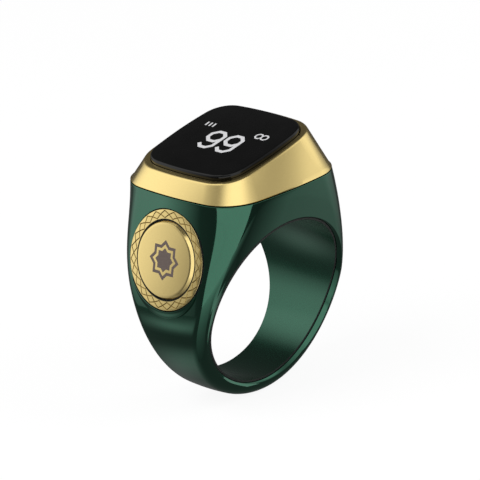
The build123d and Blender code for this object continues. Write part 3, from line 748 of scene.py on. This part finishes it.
def make_liner():
    """Thin sleeve in the bore, its ends cut to the ring's curved faces, with holes for the contacts."""
    sections = []
    for step in range(TURN_STEPS):
        turn = 2 * pi * step / TURN_STEPS
        section = []
        for way, bevel in ((-1, rim_bevel(turn)), (1, RIM_EDGE)):
            end = half_width(BORE_RADIUS * sin(turn)) - LINER_STEP - rim_drop(SLEEVE_RADIUS, bevel)
            half = [
                (BORE_RADIUS + LINER_WALL, way * (end - LINER_GROOVE)),
                (BORE_RADIUS + LINER_WALL - LINER_GROOVE, way * end),
                (BORE_RADIUS + LINER_EDGE, way * end),
                (BORE_RADIUS, way * (end - LINER_EDGE)),
            ]
            section += half if way < 0 else reversed(half)
        sections.append([(r * cos(turn), y, r * sin(turn)) for r, y in section])
    liner = swept("bore_liner_shell", sections)
    head = CONTACT_HEAD_RADIUS + ASSEMBLY_GAP
    drill(liner, [(0, -CONTACT_HEAD), (head, -CONTACT_HEAD), (head, CONTACT_HEAD), (0, CONTACT_HEAD)])
    return liner


def make_bezel():
    """Gold wedge between the seam and the tilted top, hollow, with a seat for the glass."""
    loops = []
    for step in range(ROUND_STEPS):
        turn = pi / 2 * step / ROUND_STEPS
        ring = seam_outline(SEAM_ROUND * (1 - sin(turn)))
        loops.append(placed(seam_plane, ring, SEAM_GAP + SEAM_ROUND * (1 - cos(turn))))
    low = placed(seam_plane, seam_outline(0), 0)
    high = placed(display_plane, top_outline(0), 0)
    for step in range(WALL_STEPS + 1):
        share = between(*BEZEL_WALL, step / WALL_STEPS)
        loops.append([a.lerp(b, share) for a, b in zip(low, high)])
    wall_top = loops[-1]
    land = placed(display_plane, top_outline(TOP_ROUND), 0)
    for step in range(1, 2 * ROUND_STEPS + 1):
        share = step / (2 * ROUND_STEPS)
        loops.append([
            a.lerp(b, share).lerp(b.lerp(c, share), share) for a, b, c in zip(wall_top, high, land)
        ])
    seat = top_outline(BEZEL_LAND)
    window_x = TOP_HALF_X - BEZEL_LAND - LEDGE_WIDTH_X
    window_y = TOP_HALF_Y - BEZEL_LAND - LEDGE_WIDTH_Y
    window = cushion(window_x, window_y, 0.0, WINDOW_CORNER)
    hollow_corner = CAVITY_CORNER - BEZEL_SKIRT_WALL
    inner = cushion(TOP_HALF_X - BEZEL_SKIRT_WALL, TOP_HALF_Y - BEZEL_SKIRT_WALL, 0.0, hollow_corner)
    skirt_x = SEAM_SIZE_X / 2 - CAVITY_WALL - ASSEMBLY_GAP
    skirt_y = SEAM_SIZE_Y / 2 - CAVITY_WALL - ASSEMBLY_GAP
    hollow = cushion(skirt_x - BEZEL_SKIRT_WALL, skirt_y - BEZEL_SKIRT_WALL, 0.0, hollow_corner)
    skirt = cushion(skirt_x, skirt_y, 0.0, CAVITY_CORNER)
    for plane, outline, height in (
        (display_plane, top_outline(BEZEL_LAND - SMALL_ROUND), 0),
        (display_plane, seat, -SMALL_ROUND),
        (display_plane, seat, -LEDGE_TOP),
        (display_plane, window, -LEDGE_TOP),
        (display_plane, window, -LEDGE_BACK),
        (display_plane, inner, -LEDGE_BACK),
        (seam_plane, hollow, 0),
        (seam_plane, hollow, -BEZEL_SKIRT_DEPTH),
        (seam_plane, skirt, -BEZEL_SKIRT_DEPTH),
        (seam_plane, skirt, SEAM_GAP),
    ):
        loops.append(placed(plane, outline, height))
    loops.append(loops[0])
    return new_mesh("bezel_frame", joined(loops), loop_faces(len(loops), len(low)))


def make_glass():
    """Black cover glass with a rounded upper edge, standing a little above the bezel."""
    side = BEZEL_LAND + BOND_GAP
    loops = [placed(display_plane, top_outline(side), -GLASS_BACK)]
    for step in range(GLASS_STEPS + 1):
        turn = pi / 2 * step / GLASS_STEPS
        ring = top_outline(side + GLASS_EDGE * (1 - cos(turn)))
        loops.append(placed(display_plane, ring, GLASS_PROUD - GLASS_EDGE * (1 - sin(turn))))
    return capped("cover_glass", loops)


def lattice_section(share):
    """Points (radius, height) across the ornament, from a crossing (0) to the tips of a lozenge (1)."""
    outer = between(LATTICE_MIDDLE, LATTICE_OUTER, share)
    inner = between(LATTICE_MIDDLE, LATTICE_INNER, share)
    half = min((outer - inner) / 2, GROOVE_REACH)
    crest = -GROOVE_DEPTH * (1 - half / GROOVE_REACH)
    return [
        (outer + GROOVE_REACH, 0), (outer, -GROOVE_DEPTH), (outer - half, crest),
        (inner + half, crest), (inner, -GROOVE_DEPTH), (inner - GROOVE_REACH, 0),
    ]


def make_button_ring():
    """Fixed ornament ring with two engraved zigzags that cross into a row of lozenges."""
    edge_turns = [pi / 2 * step / EDGE_STEPS for step in range(EDGE_STEPS + 1)]
    edge_middle = RING_RADIUS - RING_EDGE
    # The lower half of the outer edge, the inner edge and the lip wall below LIP_SHADE are later given
    # painted shade
    outer_edge = [(edge_middle + RING_EDGE * cos(turn), RING_EDGE * (sin(turn) - 1)) for turn in edge_turns]
    inner_edge = [(LIP_RADIUS + LIP_EDGE, 0), (LIP_RADIUS, -LIP_EDGE / 2), (LIP_RADIUS, -LIP_SHADE)]
    under = [
        (LIP_RADIUS, -LIP_DEPTH), (WELL_RADIUS, -LIP_DEPTH),
        (WELL_RADIUS, -RING_DEPTH), (RING_RADIUS, -RING_DEPTH),
    ]
    columns = 2 * LOZENGES * LATTICE_STEPS
    sections = []
    for column in range(columns):
        turn = radians(LOZENGE_TURN) + 2 * pi * column / columns
        along = column % (2 * LATTICE_STEPS) / LATTICE_STEPS
        section = outer_edge + lattice_section(abs(1 - along)) + inner_edge + under
        sections.append(spun(button_plane, turn, section))
    return swept("ornament_ring", sections)


def cap_height(radius):
    """Height of the cap's slightly domed face."""
    return CAP_PROUD - CAP_DOME * (radius / (CAP_RADIUS - BEVEL_WIDTH)) ** 2


def make_button_cap():
    """Count button: domed face, bevelled edge, flange under the lip, and a nib."""
    edge = CAP_RADIUS - BEVEL_WIDTH
    face_radii = [(edge - CAP_EDGE) * step / FACE_STEPS for step in range(FACE_STEPS + 1)]
    profile = [(radius, cap_height(radius)) for radius in face_radii]
    bevel_end = CAP_PROUD - BEVEL_DEPTH
    bevel_start = cap_height(edge) - CAP_EDGE / 4
    profile += [
        (edge, bevel_start), (edge + CAP_EDGE, bevel_start - CAP_EDGE),
        (CAP_RADIUS - SMALL_ROUND, bevel_end), (CAP_RADIUS, bevel_end - SMALL_ROUND),
        (CAP_RADIUS, -FLANGE_TOP), (FLANGE_RADIUS, -FLANGE_TOP), (FLANGE_RADIUS, -FLANGE_BACK),
        (NIB_RADIUS, -FLANGE_BACK), (NIB_RADIUS, -NIB_END), (0, -NIB_END),
    ]
    return lathe("count_cap", button_plane, profile)


def make_seal():
    """Silicone ring on the recess floor, under the cap's flange."""
    bottom = -RING_DEPTH
    top = bottom + SEAL_HEIGHT
    profile = [
        (SEAL_OUTER, bottom), (SEAL_OUTER, top - SMALL_ROUND), (SEAL_OUTER - SMALL_ROUND, top),
        (SEAL_INNER + SMALL_ROUND, top), (SEAL_INNER, top - SMALL_ROUND), (SEAL_INNER, bottom),
    ]
    return lathe("seal_ring", button_plane, profile)


def make_dome():
    """Thin metal dome under the nib of the cap."""
    shares = [step / DOME_STEPS for step in range(DOME_STEPS + 1)]
    outer = [(DOME_RADIUS * share, DOME_RISE * (1 - share**2) - DOME_BASE) for share in shares]
    inner_radius = DOME_RADIUS - 2 * DOME_WALL
    inner_rise = DOME_RISE - DOME_WALL
    inner = [(inner_radius * share, inner_rise * (1 - share**2) - DOME_BASE) for share in reversed(shares)]
    return lathe("click_dome", button_plane, outer + inner)


def star_reach(turn):
    """Distance to the edge of two overlapping squares with corners at distance 1."""
    squares = [max(abs(cos(angle)), abs(sin(angle))) for angle in (turn, turn + pi / 4)]
    return 1 / (sqrt(2) * min(squares))


def make_star(start, end):
    """One band of the star, a thin inlay that follows the dome of the cap."""
    shares = [between(start, end, step / INLAY_STEPS) for step in range(INLAY_STEPS + 1)]
    rows = [(share, INLAY_RISE) for share in shares] + [(share, -INLAY_DEPTH) for share in reversed(shares)]
    sections = []
    for step in range(STAR_STEPS):
        turn = 2 * pi * step / STAR_STEPS
        section = []
        for share, rise in rows:
            radius = STAR_RADIUS * share * star_reach(turn)
            section.append((radius, cap_height(radius) + rise))
        sections.append(spun(button_plane, turn, section))
    return swept(f"cap_star_{round(end * 100)}", sections)


def octagon(middle_x, middle_y, half_x, half_y, corner):
    """Corners of a rectangle with its corners cut off, anticlockwise."""
    quarter_turn = [(half_x, half_y - corner), (half_x - corner, half_y)]
    points = quarter_turn + [(-x, y) for x, y in reversed(quarter_turn)]
    points += [(-x, -y) for x, y in points]
    return [(middle_x + x, middle_y + y) for x, y in points]


def stroke(name, points, width, closed):
    """Thin lit plate on the glass, a stroke of even width along points (across, up)."""
    line = [Vector(point) for point in points]
    count = len(line)
    sections = []
    for index, point in enumerate(line):
        before = line[index - 1] if closed or index > 0 else None
        after = line[(index + 1) % count] if closed or index < count - 1 else None
        arrive = (point - before).normalized() if before else (after - point).normalized()
        leave = (after - point).normalized() if after else arrive
        normals = [Vector((-way.y, way.x)) for way in (arrive, leave)]
        side = (normals[0] + normals[1]) / (1 + normals[0].dot(normals[1])) * width / 2
        upper = [(spot.y, -spot.x) for spot in (point + side, point - side)]
        section = placed(display_plane, upper, GLASS_PROUD + INLAY_RISE)
        sections.append(section + placed(display_plane, reversed(upper), GLASS_PROUD - INLAY_DEPTH))
    return swept(name, sections) if closed else capped(name, sections)


def make_figures():
    """Two nines, three level bars and a sign of two joined loops, all lit."""
    figures = []
    for number, middle in enumerate(DIGIT_PLACES, 1):
        loop = octagon(middle, LOOP_MIDDLE, DIGIT_HALF_WIDTH, LOOP_HALF_HEIGHT, DIGIT_CORNER)
        digit = stroke(f"digit_{number}", loop, DIGIT_STROKE, True)
        right = middle + DIGIT_HALF_WIDTH
        left = middle - DIGIT_HALF_WIDTH
        tail = [
            (right, LOOP_MIDDLE), (right, TAIL_LOW + DIGIT_CORNER), (right - DIGIT_CORNER, TAIL_LOW),
            (left + DIGIT_CORNER, TAIL_LOW), (left, TAIL_LOW + DIGIT_CORNER),
        ]
        combine(digit, stroke("tail", tail, DIGIT_STROKE, False), "UNION")
        figures.append(digit)
    for number, middle in enumerate(BAR_PLACES, 1):
        bar = [(middle + BAR_LEAN / 2, BAR_SPAN[0]), (middle - BAR_LEAN / 2, BAR_SPAN[1])]
        figures.append(stroke(f"level_bar_{number}", bar, BAR_WIDTH, False))
    loops = [octagon(x, SIGN_MIDDLE, SIGN_HALF_WIDTH, SIGN_HALF_HEIGHT, SIGN_CORNER) for x in SIGN_PLACES]
    sign = stroke("loop_sign", loops[0], SIGN_STROKE, True)
    combine(sign, stroke("second_loop", loops[1], SIGN_STROKE, True), "UNION")
    return figures + [sign]


def dress(piece, material, body):
    """Give a new piece its material and the body that it moves with."""
    piece.data.materials.clear()
    piece.data.materials.append(material)
    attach(piece, body)


def tint(piece, plane, material, radii, heights):
    """Give the faces whose radius and height on a plane lie within limits another material."""
    used = piece.data.materials
    if material.name not in used:
        used.append(material)
    index = used.find(material.name)
    to_plane = plane.inverted()
    for face in piece.data.polygons:
        middle = to_plane @ (face.center / MM)
        if radii[0] < hypot(middle.x, middle.y) < radii[1] and heights[0] < middle.z < heights[1]:
            face.material_index = index


def press(piece, depth, keep):
    """Give a piece under the button its own copy of its mesh; the depth is not used."""
    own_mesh(piece)


# Camera, finishes and studio


def heading(bearing):
    """Level direction from the ring, by its bearing from the camera in degrees, to the right seen from it."""
    around = radians(VIEW_AZIMUTH + 180 - bearing)
    return Vector((sin(around), cos(around), 0))


def add_camera():
    """Camera that looks at the ring from the button side, above and in front."""
    above = radians(VIEW_ELEVATION)
    roll = radians(VIEW_ROLL)
    back = heading(0) * cos(above) + Vector((0, 0, sin(above)))
    level = heading(90)
    upright = back.cross(level)
    right = level * cos(roll) + upright * sin(roll)
    up = upright * cos(roll) - level * sin(roll)
    place = (back * VIEW_DISTANCE + right * VIEW_RIGHT + up * VIEW_UP) * MM
    data = bpy.data.cameras.new("camera")
    data.sensor_width = SENSOR
    data.lens = SENSOR * PIXELS_PER_MM * VIEW_DISTANCE / IMAGE_SIZE
    data.clip_start = CLIP_START * MM
    camera = add_object("camera", data)
    camera.matrix_world = Matrix.Translation(place) @ Matrix((right, up, back)).transposed().to_4x4()
    bpy.context.scene.camera = camera


def set_inputs(node, values):
    """Set inputs of a shader node, and give it back."""
    for socket, value in values.items():
        node.inputs[socket].default_value = value
    return node


def add_node(tree, kind, values=PLAIN):
    """New shader node, with values for its inputs."""
    return set_inputs(tree.nodes.new("ShaderNode" + kind), values)


def textured(name):
    """Material of a finish, whose colour, roughness and relief follow a pattern with features of its size."""
    dark, light, rough, size, texture, relief, settings = FINISHES[name]
    material = bpy.data.materials.new(name)
    material.use_nodes = True
    tree = material.node_tree
    shader = set_inputs(tree.nodes["Principled BSDF"], settings)
    place = add_node(tree, "TexCoord")
    pattern = add_node(tree, "Tex" + texture, {"Scale": 1 / (size * MM)})
    tree.links.new(place.outputs["Object"], pattern.inputs["Vector"])
    level = pattern.outputs["Distance" if texture == "Voronoi" else "Fac"]
    ramp = add_node(tree, "ValToRGB")
    for element, position, colour in zip(ramp.color_ramp.elements, PATTERN_SPAN, (dark, light)):
        element.position = position
        element.color = (*colour, 1)
    tree.links.new(level, ramp.inputs["Fac"])
    tree.links.new(ramp.outputs["Color"], shader.inputs["Base Color"])
    spread = add_node(tree, "MapRange", {"To Min": rough[0], "To Max": rough[1]})
    tree.links.new(level, spread.inputs["Value"])
    tree.links.new(spread.outputs["Result"], shader.inputs["Roughness"])
    if relief:
        bump = add_node(tree, "Bump", {"Strength": relief, "Distance": size * MM})
        tree.links.new(level, bump.inputs["Height"])
        tree.links.new(bump.outputs["Normal"], shader.inputs["Normal"])
    return material


def light_pixels(material):
    """Let a material glow in small square pixels."""
    tree = material.node_tree
    place = add_node(tree, "TexCoord")
    grid = add_node(tree, "TexBrick", PIXEL_GRID)
    grid.offset = 0.0
    tree.links.new(place.outputs["Object"], grid.inputs["Vector"])
    tree.links.new(grid.outputs["Color"], tree.nodes["Principled BSDF"].inputs["Emission Color"])


def make_glow():
    """Glowing surface of the studio panels, as bright as each point of the panel says."""
    material = bpy.data.materials.new("panel_glow")
    material.use_nodes = True
    tree = material.node_tree
    level = add_node(tree, "Attribute")
    level.attribute_name = "glow"
    shine = add_node(tree, "Emission")
    tree.links.new(level.outputs["Fac"], shine.inputs["Strength"])
    tree.links.new(shine.outputs["Emission"], tree.nodes["Material Output"].inputs["Surface"])
    return material


def add_panel(name, material, bearings, near, far, brightness):
    """Curved panel between two edges, each a (distance, height), as bright as brightness(along, across)."""
    steps = max(PANEL_COLUMNS, round((bearings[1] - bearings[0]) / PANEL_DEGREES))
    points = []
    levels = []
    for row in range(PANEL_ROWS + 1):
        across = row / PANEL_ROWS
        rise = Vector((0, 0, between(near[1], far[1], across)))
        for step in range(steps + 1):
            along = step / steps
            way = heading(between(*bearings, along))
            points.append((way * between(near[0], far[0], across) + rise) * MM)
            levels.append(brightness(along, across))
    mesh = bpy.data.meshes.new(name)
    mesh.from_pydata(points, [], strip_faces(PANEL_ROWS + 1, steps + 1))
    mesh.attributes.new("glow", "FLOAT", "POINT").data.foreach_set("value", levels)
    mesh.materials.append(material)
    panel = add_object(name, mesh)
    panel.visible_camera = False
    panel.visible_diffuse = False
    panel.visible_transmission = False
    panel.visible_shadow = False


def blended(near, far):
    """Brightness that runs evenly between the two ends of the near edge and of the far edge."""
    return lambda along, across: between(between(*near, along), between(*far, along), across)


def pooled(edge, middle):
    """Brightness that falls off softly from the middle to the edges."""
    return lambda along, across: between(edge, middle, sin(pi * along) ** 2 * sin(pi * across) ** 2)


def add_panels():
    """All panels of the studio."""
    glow = make_glow()
    for number, (bearings, heights, lower, upper) in enumerate(WALL_PANELS, 1):
        edges = [(PANEL_DISTANCE, height) for height in heights]
        add_panel(f"wall_panel_{number}", glow, bearings, *edges, blended(lower, upper))
    edges = [(PANEL_DISTANCE + UPPER_BEHIND, height) for height in UPPER_HEIGHTS]
    for number, ((start, first), (end, last)) in enumerate(zip(UPPER_WALL, UPPER_WALL[1:]), 1):
        add_panel(f"upper_panel_{number}", glow, (start, end), *edges, blended((first, last), (first, last)))
    for number, (bearings, distances, height, near, far) in enumerate(LEVEL_CARDS, 1):
        edges = [(distance, height) for distance in distances]
        add_panel(f"level_card_{number}", glow, bearings, *edges, blended(near, far))
    for number, (bearings, distances, levels) in enumerate(POOLS, 1):
        edges = [(distance, POOL_Z) for distance in distances]
        add_panel(f"floor_pool_{number}", glow, bearings, *edges, pooled(*levels))


def background_rays(tree):
    """Output that is 1 for rays from the camera and for reflected and transmitted rays."""
    path = add_node(tree, "LightPath")
    total = path.outputs["Is Camera Ray"]
    for kind in ("Is Glossy Ray", "Is Transmission Ray"):
        add = add_node(tree, "Math")
        add.operation = "ADD"
        add.use_clamp = True
        tree.links.new(total, add.inputs[0])
        tree.links.new(path.outputs[kind], add.inputs[1])
        total = add.outputs[0]
    return total


def show_mix(tree, share, first, second, output):
    """Show a mix of two shaders, the first where share is 0 and the second where it is 1."""
    mix = add_node(tree, "MixShader")
    for source, target in zip((share, first, second), mix.inputs):
        tree.links.new(source, target)
    tree.links.new(mix.outputs["Shader"], tree.nodes[output].inputs["Surface"])


def add_floor(material):
    """Pale floor under the ring, white where it is not shaded."""
    half = FLOOR_HALF
    corners = [(-half, -half), (half, -half), (half, half), (-half, half)]
    floor = new_mesh("floor", [(x, y, STAGE_Z) for x, y in corners], [(0, 1, 2, 3)])
    tree = material.node_tree
    share = add_node(tree, "Math", {1: FLOOR_GLOW})
    share.operation = "MULTIPLY"
    tree.links.new(background_rays(tree), share.inputs[0])
    surface = tree.nodes["Principled BSDF"].outputs["BSDF"]
    glow = add_node(tree, "Emission").outputs["Emission"]
    show_mix(tree, share.outputs[0], surface, glow, "Material Output")
    floor.data.materials.append(material)


def add_world():
    """White surroundings for the camera and for reflections, and a plain soft light for the rest."""
    world = bpy.data.worlds.new("world")
    world.use_nodes = True
    tree = world.node_tree
    plain = set_inputs(tree.nodes["Background"], {"Color": WHITE, "Strength": ROOM_LIGHT})
    white = add_node(tree, "Background", {"Color": WHITE})
    show_mix(tree, background_rays(tree), plain.outputs[0], white.outputs[0], "World Output")
    bpy.context.scene.world = world


def add_lamp(name, bearing, distance, height, size, power):
    """Large soft lamp that shines on the ring and leaves reflections to the white surroundings."""
    data = bpy.data.lights.new(name, "AREA")
    data.shape = "DISK"
    data.size = size * MM
    data.energy = power
    lamp = add_object(name, data)
    place = heading(bearing) * distance + Vector((0, 0, height))
    lamp.location = place * MM
    lamp.rotation_euler = place.to_track_quat("Z", "Y").to_euler()
    lamp.visible_glossy = False


# Assembly

materials = {name: textured(name) for name in FINISHES}
light_pixels(materials["lit_pixels"])
slots = {part["node"]: part["material_slot"] for part in frame["record"]["subparts"]}

# Pieces that replace a node: maker, finish, body, and the angle above which edges stay sharp
PIECES = {
    "ring_body": (make_ring_body, "lacquer", "housing", 30),
    "bore_liner": (make_liner, "satin_lacquer", "housing", 30),
    "bezel": (make_bezel, "gold", "housing", 30),
    "display_glass": (make_glass, "cover_glass", "housing", 30),
    "button_ring": (make_button_ring, "gold", "housing", 25),
    "button_cap": (make_button_cap, "gold", "button", 25),
    "button_seal": (make_seal, "silicone", "housing", 50),
    "snap_dome": (make_dome, "steel", "housing", 40),
}
STAR_SHARP = 25
# Faces of those pieces with another finish: node, plane, finish, limits of radius and of height there.
# The lattice gets a darker gold. All other rows are painted shade, a near-black where shade falls: the
# button's recess, the liner's ends, the seam, the gap outside the ornament ring, its dark inner edge, the gap
# inside it, and the side of the cap.
ANY = (-inf, inf)
recess_edge = RING_RADIUS + SHADOW_GAP + BOND_GAP
lattice = (LATTICE_INNER - GROOVE_REACH, LATTICE_OUTER + GROOVE_REACH)
grooves = [-GROOVE_DEPTH * share for share in GROOVE_TINT]
lip = (-inf, LIP_RADIUS + LIP_EDGE)
TINTS = (
    ("ring_body", button_plane, "shade", (-inf, recess_edge), (-RING_DEPTH - BOND_GAP, -BOND_GAP)),
    ("bore_liner", bore_plane, "shade", (BORE_RADIUS + TINT_MARGIN, inf), ANY),
    ("bezel", seam_plane, "shade", ANY, (-inf, SEAM_GAP + TINT_MARGIN)),
    ("button_ring", button_plane, "engraving", lattice, grooves),
    ("button_ring", button_plane, "shade", (lattice[1], inf), (-inf, -RING_EDGE / 2)),
    ("button_ring", button_plane, "shade", lip, (-LIP_EDGE / 2, 0)),
    ("button_ring", button_plane, "shade", lip, (-inf, -LIP_SHADE)),
    ("button_cap", button_plane, "shade", (CAP_RADIUS - SMALL_ROUND, inf), (-inf, CAP_PROUD - BEVEL_DEPTH)),
)
# Pieces under the button that get their own mesh: depth of the base, and the share of the height that is left
PRESSED = {"button_seal": (RING_DEPTH, SEAL_KEEP), "snap_dome": (DOME_BASE, DOME_KEEP)}

for node, (maker, finish, body, sharp) in PIECES.items():
    piece = maker()
    smooth(piece, sharp)
    dress(piece, materials[finish], body)
    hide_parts(node)
    for tinted, plane, tone, radii, heights in TINTS:
        if tinted == node:
            tint(piece, plane, materials[tone], radii, heights)
    if node in PRESSED:
        press(piece, *PRESSED[node])
for start, end in STAR_BANDS:
    star = make_star(start, end)
    smooth(star, STAR_SHARP)
    dress(star, materials["mark"], "button")
for figure in make_figures():
    dress(figure, materials["lit_pixels"], "housing")

for node, slot in slots.items():
    for holder in frame["nodes"][node].material_slots:
        holder.material = materials[slot]

add_camera()
add_world()
add_floor(materials["floor"])
add_panels()
for name, lamp in LAMPS.items():
    add_lamp(name, *lamp)
bpy.context.scene.view_settings.view_transform = "Standard"
